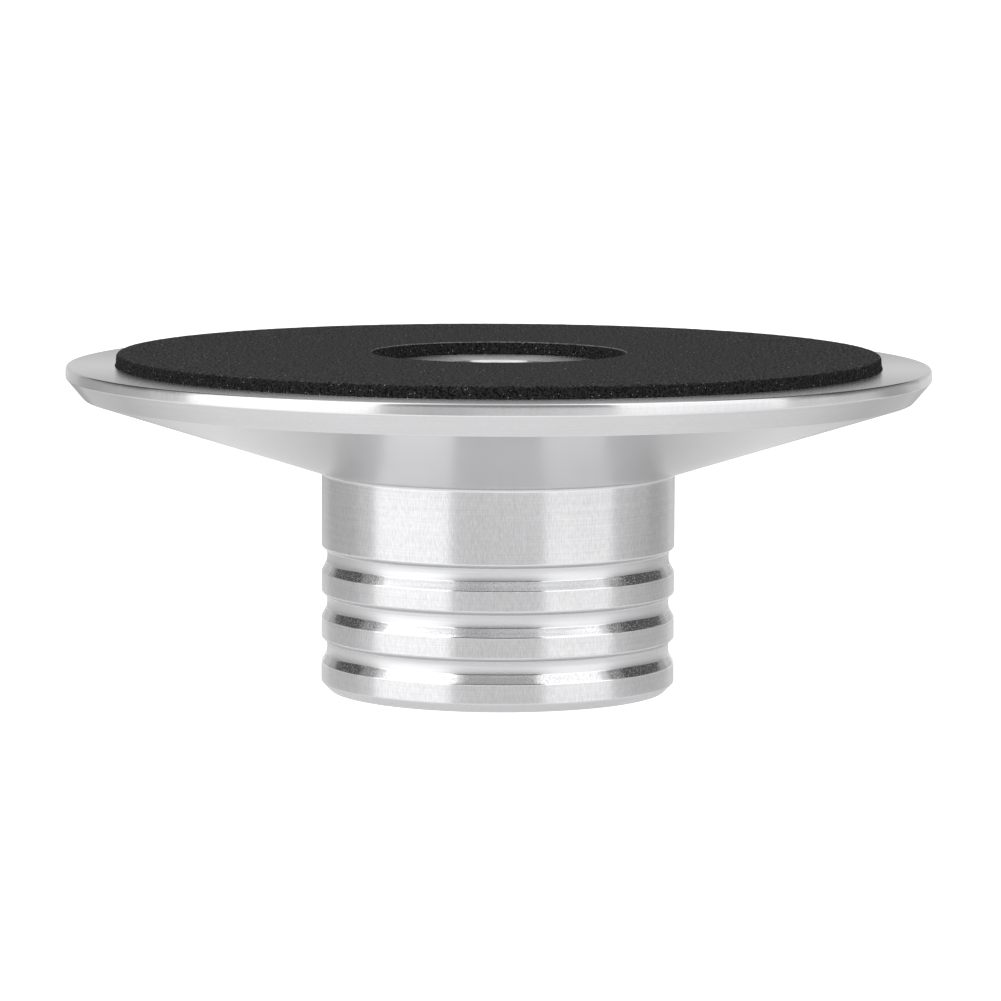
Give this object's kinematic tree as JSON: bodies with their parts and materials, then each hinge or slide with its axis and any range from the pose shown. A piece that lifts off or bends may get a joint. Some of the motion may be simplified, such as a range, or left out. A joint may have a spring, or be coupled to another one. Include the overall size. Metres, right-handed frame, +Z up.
{
  "type": "record weight",
  "caption": "Turned aluminium record weight with a grooved cylindrical knob, a wide conical flange, a foam ring and a blind spindle bore, standing on its knob with the foam up.",
  "frame": {"origin": "centre of the knob's end face, which the object stands on", "axes": "+Z up along the axis of turning, from the knob's end to the foam ring"},
  "size_m": [0.085, 0.085, 0.0333],
  "materials": {
    "turned_aluminium": "fine turned, satin",
    "dark_foam": "matte, fine open pores"
  },
  "bodies": {
    "root": {"turned_body": "turned_aluminium", "foam_pad": "dark_foam"}
  },
  "joints": []
}
